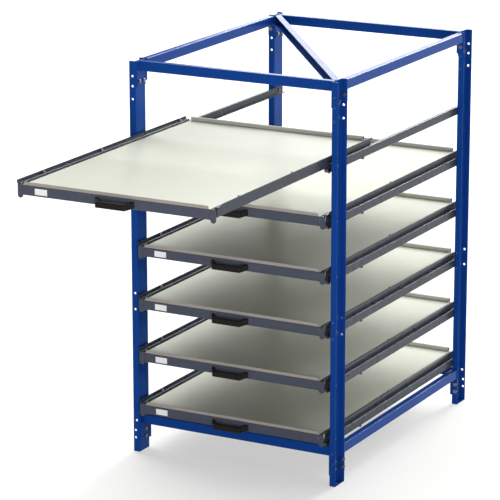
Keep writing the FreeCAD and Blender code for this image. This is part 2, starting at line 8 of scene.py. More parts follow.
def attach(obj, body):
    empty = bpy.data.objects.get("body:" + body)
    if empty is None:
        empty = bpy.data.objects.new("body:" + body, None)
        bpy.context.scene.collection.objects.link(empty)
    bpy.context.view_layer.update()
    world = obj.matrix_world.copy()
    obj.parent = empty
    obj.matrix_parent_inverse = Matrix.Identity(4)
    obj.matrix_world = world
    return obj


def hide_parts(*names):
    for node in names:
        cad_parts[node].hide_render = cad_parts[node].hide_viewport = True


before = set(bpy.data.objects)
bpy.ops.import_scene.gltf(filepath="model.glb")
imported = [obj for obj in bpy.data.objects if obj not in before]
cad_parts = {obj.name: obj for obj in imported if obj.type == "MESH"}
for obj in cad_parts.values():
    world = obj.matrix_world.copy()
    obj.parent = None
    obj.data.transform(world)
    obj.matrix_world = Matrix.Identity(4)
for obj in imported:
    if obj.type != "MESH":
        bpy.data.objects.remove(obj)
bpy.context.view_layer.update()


# Posts: four channels of 3 mm steel sheet, 30 by 90 mm, open to the sides of the rack.
# They are folded, punched with bolt holes and rows of spare holes, and powder coated in blue.
HEIGHT = 1.800
WEB_X = 0.480
FRONT_Y = -0.695
FLANGE = 0.030
WEB = 0.090
POST_SHEET = 0.003
PITCH = 0.2448
LOWEST_SEAT = 0.2235
SEATS = {level: LOWEST_SEAT + (6 - level) * PITCH for level in range(1, 7)}
BOLT_HOLE = 0.0055
RUNNER_HOLE = 0.0045
SPARE_HEIGHTS = (0.149, 0.672, 0.746, HEIGHT - 0.170, HEIGHT - 0.112)
HOLE_LINE = 0.014
SIDE_BOLT_Z = HEIGHT - 0.067
FOOT_BOLT_HEIGHTS = (0.066, 0.101)
FOOT_BOLT_LINE = 0.020
WEB_BOLT_Z = HEIGHT - 0.094
WEB_BOLT_SHIFTS = (-0.018, 0.018)
RUNNER_BOLT_DROP = 0.019


def choose(piece):
    """Make one piece alone the selected and active object."""
    bpy.ops.object.select_all(action="DESELECT")
    bpy.context.view_layer.objects.active = piece
    piece.select_set(True)


def open_piece(piece):
    """Take one piece alone into edit mode, with nothing selected."""
    choose(piece)
    bpy.ops.object.mode_set(mode="EDIT")
    bpy.ops.mesh.select_all(action="DESELECT")


def close_piece():
    bpy.ops.object.mode_set(mode="OBJECT")


def pick(piece, kind, test):
    """Select the corners, edges or faces of the open piece whose middle passes a test."""
    bpy.ops.mesh.select_mode(type=kind)
    mesh = bmesh.from_edit_mesh(piece.data)
    if kind == "VERT":
        chosen = [corner for corner in mesh.verts if test(corner.co)]
    elif kind == "EDGE":
        chosen = [edge for edge in mesh.edges if test((edge.verts[0].co + edge.verts[1].co) / 2)]
    else:
        chosen = [face for face in mesh.faces if test(face.calc_center_median())]
    for part in chosen:
        part.select = True
    mesh.select_flush_mode()
    bmesh.update_edit_mesh(piece.data)


def fold_sheet(name, corners, axis, low, high, sheet, bend):
    """A folded sheet whose middle line goes through the corners, and which runs along an axis."""
    flat = [way for way in range(3) if way != axis]

    def spot(corner, along):
        place = Vector((0, 0, 0))
        place[flat[0]], place[flat[1]] = corner
        place[axis] = along
        return place

    bpy.ops.object.select_all(action="DESELECT")
    bpy.ops.mesh.primitive_plane_add(size=1)
    piece = bpy.context.object
    piece.name = name
    rim = [spot(corners[0], low), spot(corners[0], high), spot(corners[1], high), spot(corners[1], low)]
    for index, place in zip(piece.data.polygons[0].vertices, rim):
        piece.data.vertices[index].co = place
    open_piece(piece)
    middle = (low + high) / 2
    pick(piece, "EDGE", lambda spot_of: (spot_of - spot(corners[1], middle)).length < 1e-5)
    for start, end in zip(corners[1:], corners[2:]):
        step = spot(end, 0) - spot(start, 0)
        bpy.ops.mesh.extrude_edges_move(TRANSFORM_OT_translate={"value": step})
    bpy.ops.mesh.select_all(action="DESELECT")
    bends = [spot(corner, middle) for corner in corners[1:-1]]
    pick(piece, "EDGE", lambda spot_of: any((spot_of - place).length < 1e-5 for place in bends))
    bpy.ops.mesh.bevel(offset=bend, segments=4, affect="EDGES")
    bpy.ops.mesh.select_all(action="SELECT")
    bpy.ops.mesh.normals_make_consistent(inside=False)
    close_piece()
    apply(piece, "SOLIDIFY", thickness=sheet, offset=0, use_even_offset=True)
    return piece


def apply(piece, kind, **settings):
    """Add a modifier to a piece, set it and apply it."""
    choose(piece)
    modifier = piece.modifiers.new(kind.lower(), kind)
    for key, setting in settings.items():
        setattr(modifier, key, setting)
    bpy.ops.object.modifier_apply(modifier=modifier.name)


def soften(piece, width, segments=2):
    """Round the sharp edges of a piece a little."""
    apply(piece, "BEVEL", width=width, segments=segments, limit_method="ANGLE", angle_limit=math.radians(50))


def cut(piece, bit):
    """Cut a piece with a bit, which is used up."""
    apply(piece, "BOOLEAN", operation="DIFFERENCE", object=bit, solver="EXACT")
    bpy.data.objects.remove(bit)


def bar(sides, radius, length, place, axis):
    """A round bar along an axis, about its middle."""
    turn = {"x": (0, math.pi / 2, 0), "y": (math.pi / 2, 0, 0), "z": (0, 0, 0)}[axis]
    bpy.ops.object.select_all(action="DESELECT")
    bpy.ops.mesh.primitive_cylinder_add(
        vertices=sides, radius=radius, depth=length, location=place, rotation=turn)
    bpy.ops.object.transform_apply(location=True, rotation=True, scale=True)
    return bpy.context.object


def join(pieces, name):
    """Make several pieces one object."""
    bpy.ops.object.select_all(action="DESELECT")
    for piece in pieces:
        piece.select_set(True)
    bpy.context.view_layer.objects.active = pieces[0]
    if len(pieces) > 1:
        bpy.ops.object.join()
    pieces[0].name = name
    return pieces[0]


def copy(piece, name, shift=(0, 0, 0), flip=(1, 1)):
    """A copy with a mesh of its own, shifted, or mirrored about the rack's middle planes."""
    choose(piece)
    bpy.ops.object.duplicate()
    twin = bpy.context.object
    twin.name = name
    twin.location = shift
    twin.scale = (flip[0], flip[1], 1)
    bpy.ops.object.transform_apply(location=True, rotation=True, scale=True)
    open_piece(twin)
    bpy.ops.mesh.select_all(action="SELECT")
    bpy.ops.mesh.normals_make_consistent(inside=False)
    close_piece()
    return twin


def dress(piece, material, body, nodes):
    """Give a piece its finish, its body and the nodes that it stands for."""
    choose(piece)
    bpy.ops.object.shade_smooth_by_angle(angle=math.radians(32))
    apply(piece, "WEIGHTED_NORMAL", keep_sharp=True)
    piece.data.materials.clear()
    piece.data.materials.append(material)
    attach(piece, body)
    if nodes:
        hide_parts(*nodes)


def start_material(name):
    """A new material with its nodes, its links and its shader."""
    material = bpy.data.materials.new(name)
    material.use_nodes = True
    nodes = material.node_tree.nodes
    return material, nodes, material.node_tree.links, nodes["Principled BSDF"]


def noise(nodes, scale, detail):
    """A noise texture of a given fineness."""
    texture = nodes.new("ShaderNodeTexNoise")
    texture.inputs["Scale"].default_value = scale
    texture.inputs["Detail"].default_value = detail
    return texture


def two_tones(nodes, first, second):
    """A mix of two colours, which a texture drives."""
    mix = nodes.new("ShaderNodeMix")
    mix.data_type = "RGBA"
    mix.inputs["A"].default_value = (*first, 1)
    mix.inputs["B"].default_value = (*second, 1)
    return mix


def relief(nodes, strength, depth):
    """A fine relief of the surface, which a texture drives."""
    bump = nodes.new("ShaderNodeBump")
    bump.inputs["Strength"].default_value = strength
    bump.inputs["Distance"].default_value = depth
    return bump


def paint(name, colour, shade, gloss, peel, mirror, tint):
    """A powder coat: fine orange peel, a slow drift of the colour, and rubbed and dull patches."""
    material, nodes, links, coat = start_material(name)
    place = nodes.new("ShaderNodeTexCoord")
    drift = noise(nodes, 5, 5)
    mix = two_tones(nodes, colour, shade)
    rub = noise(nodes, 11, 6)
    dull = nodes.new("ShaderNodeMapRange")
    dull.inputs["From Min"].default_value = 0.35
    dull.inputs["From Max"].default_value = 0.70
    dull.inputs["To Min"].default_value = gloss
    dull.inputs["To Max"].default_value = gloss + 0.06
    skin = noise(nodes, 620, 2)
    bump = relief(nodes, peel, 0.0006)
    for texture in (drift, rub, skin):
        links.new(place.outputs["Object"], texture.inputs["Vector"])
    links.new(drift.outputs["Fac"], mix.inputs["Factor"])
    links.new(mix.outputs["Result"], coat.inputs["Base Color"])
    links.new(rub.outputs["Fac"], dull.inputs["Value"])
    links.new(dull.outputs["Result"], coat.inputs["Roughness"])
    links.new(skin.outputs["Fac"], bump.inputs["Height"])
    links.new(bump.outputs["Normal"], coat.inputs["Normal"])
    coat.inputs["Specular IOR Level"].default_value = mirror
    coat.inputs["Specular Tint"].default_value = (*tint, 1)
    return material


blue_paint = paint("blue powder coat", (0.0080, 0.061, 0.315), (0.0070, 0.053, 0.285),
                   gloss=0.17, peel=0.06, mirror=0.07, tint=(0.15, 0.25, 0.70))

half = POST_SHEET / 2
post = fold_sheet("post_front_right", [
    (WEB_X + FLANGE, FRONT_Y + half),
    (WEB_X + half, FRONT_Y + half),
    (WEB_X + half, FRONT_Y + WEB - half),
    (WEB_X + FLANGE, FRONT_Y + WEB - half),
], 2, 0, HEIGHT, POST_SHEET, 0.0045)
bits = []
mid_y = FRONT_Y + WEB / 2
for height in (*SPARE_HEIGHTS, SIDE_BOLT_Z):
    bits.append(bar(24, BOLT_HOLE, 0.2, (WEB_X + HOLE_LINE, mid_y, height), "y"))
for height in FOOT_BOLT_HEIGHTS:
    bits.append(bar(24, BOLT_HOLE, 0.2, (WEB_X + FOOT_BOLT_LINE, mid_y, height), "y"))
    bits.append(bar(24, BOLT_HOLE, 0.02, (WEB_X, mid_y, height), "x"))
for shift in WEB_BOLT_SHIFTS:
    bits.append(bar(24, BOLT_HOLE, 0.02, (WEB_X, mid_y + shift, WEB_BOLT_Z), "x"))
for seat in SEATS.values():
    bits.append(bar(24, RUNNER_HOLE, 0.02, (WEB_X, mid_y, seat - RUNNER_BOLT_DROP), "x"))
bits = join(bits, "bits")
cut(post, bits)
soften(post, 0.0004)
posts = {"post_front_right": post}
for name, flip in (("post_front_left", (-1, 1)), ("post_rear_right", (1, -1)), ("post_rear_left", (-1, -1))):
    posts[name] = copy(post, name, flip=flip)
for name, piece in posts.items():
    dress(piece, blue_paint, "frame", [name])
    piece.name = f"{name}_channel"


# Foot plates: 4 mm plates welded into the posts' lower ends, with a hole for a floor anchor.
# They are coated with the posts.
def block(low, high):
    """A block between two corners."""
    low, high = Vector(low), Vector(high)
    bpy.ops.object.select_all(action="DESELECT")
    bpy.ops.mesh.primitive_cube_add(size=1, location=(low + high) / 2, scale=high - low)
    bpy.ops.object.transform_apply(location=True, rotation=True, scale=True)
    return bpy.context.object


FOOT_PLATE = 0.004
ANCHOR_HOLE = 0.006
foot_low = (WEB_X + POST_SHEET, FRONT_Y + POST_SHEET, 0)
foot = block(foot_low, (WEB_X + FLANGE, FRONT_Y + WEB - POST_SHEET, FOOT_PLATE))
bit = bar(32, ANCHOR_HOLE, 0.02, (WEB_X + 0.0165, mid_y, FOOT_PLATE / 2), "z")
cut(foot, bit)
soften(foot, 0.0005)
feet = [foot]
for flip in ((-1, 1), (1, -1), (-1, -1)):
    feet.append(copy(foot, "foot", flip=flip))
feet = join(feet, "foot_plate_set")
dress(feet, blue_paint, "frame", ["foot_plates"])


# Frame rails: rectangular tubes of 32 by 44 mm with a welded plate at each end.
# The plates are bolted to the posts' webs and flanges, and everything is coated in blue.
RAIL_W = 0.032
RAIL_H = 0.044
PLATE = 0.005
TOP_BASE = HEIGHT - 0.047
BOTTOM_BASE = 0.128
PLATE_TOP = HEIGHT - 0.003
BOTTOM_PLATE = (0.047, 0.172)
PLATE_HALF = 0.038
SIDE_PLATE = 0.035
WELD_RISE = 0.0022
WELD_WIDTH = 0.003


def tube(low, high, axis):
    """A closed tube with rounded long edges."""
    piece = block(low, high)
    middle = (low[axis] + high[axis]) / 2
    open_piece(piece)
    pick(piece, "EDGE", lambda spot_of: abs(spot_of[axis] - middle) < 1e-5)
    bpy.ops.mesh.bevel(offset=0.004, segments=4, affect="EDGES")
    close_piece()
    return piece


def weld(low, high, axis, side):
    """A weld seam round a tube's end, as a thin raised collar with slanted sides."""
    near, far = list(low), list(high)
    for way in range(3):
        if way != axis:
            near[way] -= WELD_RISE
            far[way] += WELD_RISE
    end = low[axis] if side < 0 else high[axis]
    near[axis], far[axis] = sorted((end, end - side * WELD_WIDTH))
    piece = block(near, far)
    open_piece(piece)
    middle = (near[axis] + far[axis]) / 2
    pick(piece, "EDGE", lambda spot_of: abs(spot_of[axis] - middle) < 1e-5)
    bpy.ops.mesh.bevel(offset=0.0055, segments=4, affect="EDGES")
    bpy.ops.mesh.select_all(action="DESELECT")
    inner = near[axis] if side > 0 else far[axis]
    pick(piece, "FACE", lambda spot_of: abs(spot_of[axis] - inner) < 1e-5)
    bpy.ops.transform.resize(value=[1 if way == axis else 0.965 for way in range(3)],
                             center_override=(Vector(near) + Vector(far)) / 2)
    close_piece()
    return piece


def end_plate(low, high):
    piece = block(low, high)
    soften(piece, 0.0008)
    return piece


rails = {}
end_x = WEB_X - PLATE
for name, base, plate_low, plate_high in (
        ("top", TOP_BASE, HEIGHT - 0.114, PLATE_TOP), ("bottom", BOTTOM_BASE, *BOTTOM_PLATE)):
    low, high = (-end_x, mid_y - RAIL_W / 2, base), (end_x, mid_y + RAIL_W / 2, base + RAIL_H)
    parts = [tube(low, high, 0), weld(low, high, 0, -1), weld(low, high, 0, 1)]
    for side in (-1, 1):
        near, far = sorted((side * end_x, side * WEB_X))
        parts.append(end_plate((near, mid_y - PLATE_HALF, plate_low), (far, mid_y + PLATE_HALF, plate_high)))
    rails[f"{name}_rail_front"] = join(parts, f"{name}_rail_front")
    rails[f"{name}_rail_rear"] = copy(rails[f"{name}_rail_front"], f"{name}_rail_rear", flip=(1, -1))

start_x = WEB_X - 0.006
end_y = -FRONT_Y - WEB - PLATE
for name, base, plate_low, plate_high in (
        ("top", TOP_BASE, HEIGHT - 0.098, PLATE_TOP), ("bottom", BOTTOM_BASE, *BOTTOM_PLATE)):
    low, high = (start_x, -end_y, base), (start_x + RAIL_W, end_y, base + RAIL_H)
    parts = [tube(low, high, 1), weld(low, high, 1, -1), weld(low, high, 1, 1)]
    for side in (-1, 1):
        near, far = sorted((side * end_y, side * (end_y + PLATE)))
        parts.append(end_plate((start_x, near, plate_low), (start_x + SIDE_PLATE, far, plate_high)))
    rails[f"{name}_rail_right"] = join(parts, f"{name}_rail_right")
    rails[f"{name}_rail_left"] = copy(rails[f"{name}_rail_right"], f"{name}_rail_left", flip=(-1, 1))
for name, piece in rails.items():
    dress(piece, blue_paint, "frame", [name])
    piece.name = f"{name}_tube"


# Diagonal brace: a folded channel from the rear left corner of the top to the front right one.
# It is open to the front left; its ends are cut at a slant and welded into the corners of the top frame.
BRACE_SHEET = 0.002
half = BRACE_SHEET / 2
brace = fold_sheet("brace_channel", [
    (-RAIL_W / 2, TOP_BASE + half),
    (RAIL_W / 2 - half, TOP_BASE + half),
    (RAIL_W / 2 - half, TOP_BASE + RAIL_H - half),
    (-RAIL_W / 2, TOP_BASE + RAIL_H - half),
], 0, -1.2, 1.2, BRACE_SHEET, 0.003)
corner_y = -mid_y - RAIL_W / 2
brace.rotation_euler = (0, 0, -math.atan2(corner_y, end_x))
bpy.ops.object.transform_apply(location=True, rotation=True, scale=True)
open_piece(brace)
for place, normal in (((end_x, 0, 0), (1, 0, 0)), ((-end_x, 0, 0), (-1, 0, 0)),
                      ((0, corner_y, 0), (0, 1, 0)), ((0, -corner_y, 0), (0, -1, 0))):
    bpy.ops.mesh.select_all(action="SELECT")
    bpy.ops.mesh.bisect(plane_co=place, plane_no=normal, use_fill=True, clear_outer=True)
close_piece()
dress(brace, blue_paint, "frame", ["top_brace"])


# Bolts: flanged hexagon bolts of steel, zinc plated, M10 in the frame and M8 on the runners, each with a
# flanged nut and the end of the thread showing. The stop bolts stand in the runners, without nuts, blackened.
def metal(name, colour, tint, rough, grain):
    """Plated or ground steel: tinted by a fine noise, with a grain that scatters the light."""
    material, nodes, links, steel = start_material(name)
    steel.inputs["Metallic"].default_value = 1
    place = nodes.new("ShaderNodeTexCoord")
    cloud = noise(nodes, 140, 5)
    mix = two_tones(nodes, colour, tint)
    fine = noise(nodes, 900, 3)
    dull = nodes.new("ShaderNodeMapRange")
    dull.inputs["To Min"].default_value = rough - 0.08
    dull.inputs["To Max"].default_value = rough + 0.12
    bump = relief(nodes, grain, 0.0003)
    for texture in (cloud, fine):
        links.new(place.outputs["Object"], texture.inputs["Vector"])
    links.new(cloud.outputs["Fac"], mix.inputs["Factor"])
    links.new(mix.outputs["Result"], steel.inputs["Base Color"])
    links.new(cloud.outputs["Fac"], dull.inputs["Value"])
    links.new(dull.outputs["Result"], steel.inputs["Roughness"])
    links.new(fine.outputs["Fac"], bump.inputs["Height"])
    links.new(bump.outputs["Normal"], steel.inputs["Normal"])
    return material


zinc_steel = metal("zinc plated steel", (0.23, 0.23, 0.25), (0.15, 0.15, 0.17), rough=0.36, grain=0.12)
black_steel = metal("blackened steel", (0.050, 0.050, 0.055), (0.030, 0.030, 0.035), rough=0.42, grain=0.12)


def hex_head(key, height, start, way):
    """A hexagon with a flange at its foot, which starts at an X and rises one way."""
    corner = key / math.sqrt(3)
    collar = bar(32, key * 0.60, 0.0014, (start + way * 0.0007, 0, 0), "x")
    soften(collar, 0.0004)
    body = bar(6, corner, height, (start + way * height / 2, 0, 0), "x")
    far = start + way * height
    open_piece(body)
    pick(body, "FACE", lambda spot_of: abs(spot_of.x - far) < 1e-6)
    bpy.ops.mesh.inset(thickness=key * 0.05)
    bpy.ops.mesh.select_all(action="DESELECT")
    pick(body, "VERT", lambda spot_of: abs(spot_of.x - far) < 1e-6 and spot_of.yz.length > corner * 0.97)
    bpy.ops.transform.translate(value=(-way * key * 0.05, 0, 0))
    close_piece()
    return [collar, body]


def bolt(name, thread, key, head, grip, nut):
    """A bolt along X whose head ends at 0, with a nut at its grip if it has one."""
    parts = hex_head(key, head, 0, -1)
    end = grip + nut + 0.0015 if nut else grip
    parts.append(bar(24, thread / 2 * 0.97, end + 0.001, ((end - 0.001) / 2, 0, 0), "x"))
    soften(parts[-1], 0.0006)
    if nut:
        parts += hex_head(key, nut, grip, 1)
    return join(parts, name)


def spread(piece, name, places):
    """Copies of a piece at many places, each turned about an upright or a cross axis."""
    copies = []
    for place, turn in places:
        choose(piece)
        bpy.ops.object.duplicate()
        twin = bpy.context.object
        twin.location = place
        twin.rotation_euler = turn
        bpy.ops.object.transform_apply(location=True, rotation=True, scale=True)
        copies.append(twin)
    bpy.data.objects.remove(piece)
    return join(copies, name)


def four_corners(x, y, z, along):
    """A place and its mirror images in the four corners, with the bolt pointing outwards or to the posts."""
    found = []
    for side in (1, -1):
        for end in (1, -1):
            if along == "x":
                angle = 0 if side > 0 else math.pi
            else:
                angle = end * math.pi / 2
            found.append(((side * x, end * y, z), (0, 0, angle)))
    return found


places = []
for shift in WEB_BOLT_SHIFTS:
    places += four_corners(end_x, -mid_y + shift, WEB_BOLT_Z, "x")
places += four_corners(WEB_X + HOLE_LINE, end_y, SIDE_BOLT_Z, "y")
for height in FOOT_BOLT_HEIGHTS:
    places += four_corners(end_x, -mid_y, height, "x")
    places += four_corners(WEB_X + FOOT_BOLT_LINE, end_y, height, "y")
fastener = bolt("frame_bolt", thread=0.010, key=0.0165, head=0.0065, grip=0.008, nut=0.0065)
frame_bolts = spread(fastener, "frame_bolt_set", places)
dress(frame_bolts, zinc_steel, "frame", ["frame_bolts"])

RUNNER_SHEET = 0.0025
RUNNER_H = 0.038
places = []
for seat in SEATS.values():
    places += four_corners(WEB_X - RUNNER_SHEET, -mid_y, seat - RUNNER_BOLT_DROP, "x")
fastener = bolt("runner_bolt", thread=0.008, key=0.0125, head=0.0053, grip=0.0055, nut=0.0052)
runner_bolts = spread(fastener, "runner_bolt_set", places)
dress(runner_bolts, zinc_steel, "frame", ["runner_bolts"])

STOP_X = WEB_X - 0.00925
STOP_Y = -0.3725
places = []
for seat in SEATS.values():
    for side in (1, -1):
        places.append(((side * STOP_X, STOP_Y, seat - RUNNER_H), (0, -math.pi / 2, 0)))
fastener = bolt("stop_bolt", thread=0.008, key=0.0125, head=0.0085, grip=0.0225, nut=0)
stop_bolts = spread(fastener, "stop_bolt_set", places)
dress(stop_bolts, black_steel, "frame", ["stop_bolts"])


# Runners: channels of 2.5 mm sheet on the posts' webs, open to the middle of the rack.
# A lug with a round lower end is welded to the front of each and holds the front roller's pin.
# They are coated in graphite, darker than the drawers' beams.
RUNNER_D = 0.016
LUG_SHEET = 0.0025
LUG_R = 0.014
RUNNER_GAP = 0.005
PIN_R = 0.005
FRONT_PIN = 0.0215
PIN_HEAD = 0.0015
LUG_X = WEB_X - RUNNER_D - LUG_SHEET
AXLE_Y = FRONT_Y + 0.019
AXLE_Z = -0.0343
graphite_paint = paint("graphite powder coat", (0.047, 0.055, 0.074), (0.042, 0.049, 0.066),
                       gloss=0.26, peel=0.05, mirror=0.13, tint=(0.58, 0.67, 0.85))


def round_end(low, high, axis, radius):
    """A plate whose lower end is half round, seen along an axis."""
    piece = block(low, high)
    middle = (low[axis] + high[axis]) / 2
    open_piece(piece)
    pick(piece, "EDGE", lambda spot_of: abs(spot_of[axis] - middle) < 1e-5 and abs(spot_of.z - low[2]) < 1e-5)
    bpy.ops.mesh.bevel(offset=radius * 0.998, segments=9, affect="EDGES")
    close_piece()
    soften(piece, 0.0004)
    return piece


def at_levels(piece, name, back):
    """The top level's piece under a numbered name, and its copies at the levels below, set back by a length."""
    piece.name = f"{name}_1"
    found = {1: piece}
    for level in range(2, 7):
        found[level] = copy(piece, f"{name}_{level}", (0, back, SEATS[level] - top))
    return found


top = SEATS[1]
half = RUNNER_SHEET / 2
channel = fold_sheet("channel", [
    (WEB_X - RUNNER_D, top - half),
    (WEB_X - half, top - half),
    (WEB_X - half, top - RUNNER_H + half),
    (WEB_X - RUNNER_D, top - RUNNER_H + half),
], 1, FRONT_Y + RUNNER_GAP, -FRONT_Y - RUNNER_GAP, RUNNER_SHEET, 0.0022)
soften(channel, 0.0003)
lug_low = (LUG_X, AXLE_Y - LUG_R, top + AXLE_Z - LUG_R)
lug = round_end(lug_low, (LUG_X + LUG_SHEET, AXLE_Y + LUG_R, top), 0, LUG_R)
lug_back = LUG_X + LUG_SHEET
pin = bar(32, PIN_R, FRONT_PIN, (lug_back - FRONT_PIN / 2, AXLE_Y, top + AXLE_Z), "x")
head = bar(32, 0.007, PIN_HEAD, (lug_back - FRONT_PIN - PIN_HEAD / 2, AXLE_Y, top + AXLE_Z), "x")
soften(head, 0.0005, 3)
runner = join([channel, lug, pin, head], "runner")
runner = join([runner, copy(runner, "runner", flip=(-1, 1))], "runner_pair")
for level, piece in at_levels(runner, "runner_pair", 0).items():
    dress(piece, graphite_paint, "frame", [f"runners_{level}"])


# Rollers: turned steel rings on pins, the front ones on the runners' lugs under the drawer's rails,
# the rear ones on the drawer's rails inside the runners. They are oiled and dark.
roller_steel = metal("oiled roller steel", (0.19, 0.150, 0.120), (0.11, 0.088, 0.074), rough=0.38, grain=0.10)


def roller(radius, low, high, y, z):
    """A ring with rounded rims, a sunken face on both sides, a raised hub and a bore."""
    hub, bore = 0.0075, 0.0052
    piece = bar(48, radius, high - low, ((low + high) / 2, y, z), "x")

    def is_end(spot_of):
        return min(abs(spot_of.x - low), abs(spot_of.x - high)) < 1e-6

    open_piece(piece)
    pick(piece, "FACE", is_end)
    bpy.ops.mesh.inset(thickness=radius * 0.22)
    bpy.ops.mesh.inset(thickness=0.0004, depth=-0.0009)
    bpy.ops.mesh.inset(thickness=radius * 0.78 - 0.0004 - hub)
    bpy.ops.mesh.inset(thickness=0.0003, depth=0.0007)
    bpy.ops.mesh.inset(thickness=hub - 0.0003 - bore)
    bpy.ops.mesh.bridge_edge_loops()
    bpy.ops.mesh.select_all(action="DESELECT")
    middle = Vector((0, y, z))
    pick(piece, "EDGE", lambda spot_of: is_end(spot_of) and (spot_of - middle).yz.length > radius * 0.97)
    bpy.ops.mesh.bevel(offset=0.001, segments=3, affect="EDGES")
    bpy.ops.mesh.select_all(action="SELECT")
    bpy.ops.mesh.normals_make_consistent(inside=False)
    close_piece()
    return piece


FRONT_R = 0.012
REAR_R = 0.016
front = roller(FRONT_R, LUG_X - 0.018, LUG_X - 0.001, AXLE_Y, top + AXLE_Z)
front = join([front, copy(front, "roller", flip=(-1, 1))], "front_roller_pair")
for level, piece in at_levels(front, "front_roller_pair", 0).items():
    dress(piece, roller_steel, f"front_rollers_{level}", [f"front_rollers_{level}"])

TRAVEL = 0.955
REAR_Y = 0.683
REAR_AXLE = REAR_Y - 0.080
rear = roller(REAR_R, STOP_X - 0.005, STOP_X + 0.005, REAR_AXLE - TRAVEL, top - RUNNER_H / 2)
rear = join([rear, copy(rear, "roller", flip=(-1, 1))], "rear_roller_pair")
for level, piece in at_levels(rear, "rear_roller_pair", TRAVEL).items():
    dress(piece, roller_steel, f"rear_rollers_{level}", [f"rear_rollers_{level}"])


# Drawer sides: two folded sheets each, in graphite, one with a ledge for the tray, a step and a low wall, cut
# back at the front of the right side, and one welded under the step, with a foot that runs on the front roller.
# Two square tubes tie the sides together under the tray, and a pin near the rear carries the rear roller.
FRONT_D = -0.715
RAIL_OUT = LUG_X - 0.001
RAIL_SHEET = 0.0025
RAIL_IN = RAIL_OUT - 0.022
bar_x = RAIL_OUT - RAIL_SHEET
out_y = -TRAVEL
half = RAIL_SHEET / 2
LEDGE_Z = 0.012
LEDGE_IN = RAIL_IN - 0.014
STEP_IN = RAIL_IN + 0.0115
STEP_Z = 0.019
WALL_X = RAIL_OUT + 0.0085
WALL_Z = 0.030
FOOT_Z = -0.022
CROSS_W = 0.030
REAR_PIN = 0.017
start_y = FRONT_D + 0.017 + out_y
upper = fold_sheet("upper", [
    (LEDGE_IN, top + LEDGE_Z - half),
    (STEP_IN, top + LEDGE_Z - half),
    (STEP_IN, top + STEP_Z - half),
    (WALL_X - half, top + STEP_Z - half),
    (WALL_X - half, top + WALL_Z),
], 1, start_y, REAR_Y + out_y, RAIL_SHEET, 0.0018)
lower = fold_sheet("lower", [
    (RAIL_OUT - half, top + STEP_Z - RAIL_SHEET),
    (RAIL_OUT - half, top + FOOT_Z + half),
    (RAIL_OUT - 0.020, top + FOOT_Z + half),
], 1, start_y, REAR_Y + out_y, RAIL_SHEET, 0.0018)
side = join([upper, lower], "side")
soften(side, 0.0003)
tongue_low = (LEDGE_IN, FRONT_D + 0.004 + out_y, top + LEDGE_Z - RAIL_SHEET)
tongue = block(tongue_low, (bar_x, start_y + 0.0005, top + LEDGE_Z))
soften(tongue, 0.0003)
pin = bar(32, PIN_R, REAR_PIN, (bar_x + REAR_PIN / 2, REAR_AXLE + out_y, top - RUNNER_H / 2), "x")
soften(pin, 0.0006)
side = join([side, tongue, pin], "side")
parts = [side, copy(side, "side", flip=(-1, 1))]
for piece, above, shift in ((parts[0], STEP_Z + 0.004, 0.030), (parts[1], 0.0125, -0.013)):
    open_piece(piece)
    pick(piece, "VERT", lambda spot_of: abs(spot_of.y - start_y) < 0.0005 and spot_of.z > top + above)
    bpy.ops.transform.translate(value=(0, shift, 0))
    close_piece()
for low_y in (-CROSS_W / 2, REAR_Y - CROSS_W):
    low = (-bar_x, low_y + out_y, top + FOOT_Z + RAIL_SHEET)
    parts.append(block(low, (bar_x, low_y + CROSS_W + out_y, top + LEDGE_Z - RAIL_SHEET)))
    soften(parts[-1], 0.0025, 3)
side_pair = join(parts, "drawer_side_pair")
for level, piece in at_levels(side_pair, "drawer_side_pair", TRAVEL).items():
    dress(piece, graphite_paint, f"drawer_{level}", [f"side_rails_{level}"])


# Front beams: a folded sheet across the drawer's front, with a shelf under the tray.
# A flat bracket with a round lower end hangs at each end and joins it to the drawer's sides;
# the left one reaches up to the step of its side. They are coated in anthracite.
anthracite_paint = paint("anthracite powder coat", (0.083, 0.094, 0.132), (0.075, 0.085, 0.119),
                         gloss=0.24, peel=0.08, mirror=0.16, tint=(0.40, 0.40, 0.45))
BEAM_SHEET = 0.002
BEAM_LOW = -0.030
BEAM_DEPTH = 0.030
SHELF_Z = 0.0095
BRACKET_LOW = -0.043
BRACKET_W = 0.025
half = BEAM_SHEET / 2
y = FRONT_D + out_y
beam = fold_sheet("beam", [
    (y + BEAM_DEPTH, top + BEAM_LOW + half),
    (y + half, top + BEAM_LOW + half),
    (y + half, top + LEDGE_Z),
], 0, -RAIL_IN + 0.0012, RAIL_IN - 0.0012, BEAM_SHEET, 0.0022)
soften(beam, 0.0003)
shelf_low = (-RAIL_IN, y + BEAM_SHEET, top + SHELF_Z - BEAM_SHEET)
shelf = block(shelf_low, (RAIL_IN, y + BEAM_DEPTH, top + SHELF_Z))
soften(shelf, 0.0003)
parts = [beam, shelf]
for way, bracket_top in ((1, SHELF_Z), (-1, STEP_Z - RAIL_SHEET)):
    near, far = sorted((way * RAIL_IN, way * (RAIL_IN + BRACKET_W)))
    low, high = (near, y, top + BRACKET_LOW), (far, y + 0.004, top + bracket_top)
    parts.append(round_end(low, high, 1, BRACKET_W / 2))
beam = join(parts, "beam")
for level, piece in at_levels(beam, "beam", TRAVEL).items():
    dress(piece, anthracite_paint, f"drawer_{level}", [f"front_beam_{level}"])


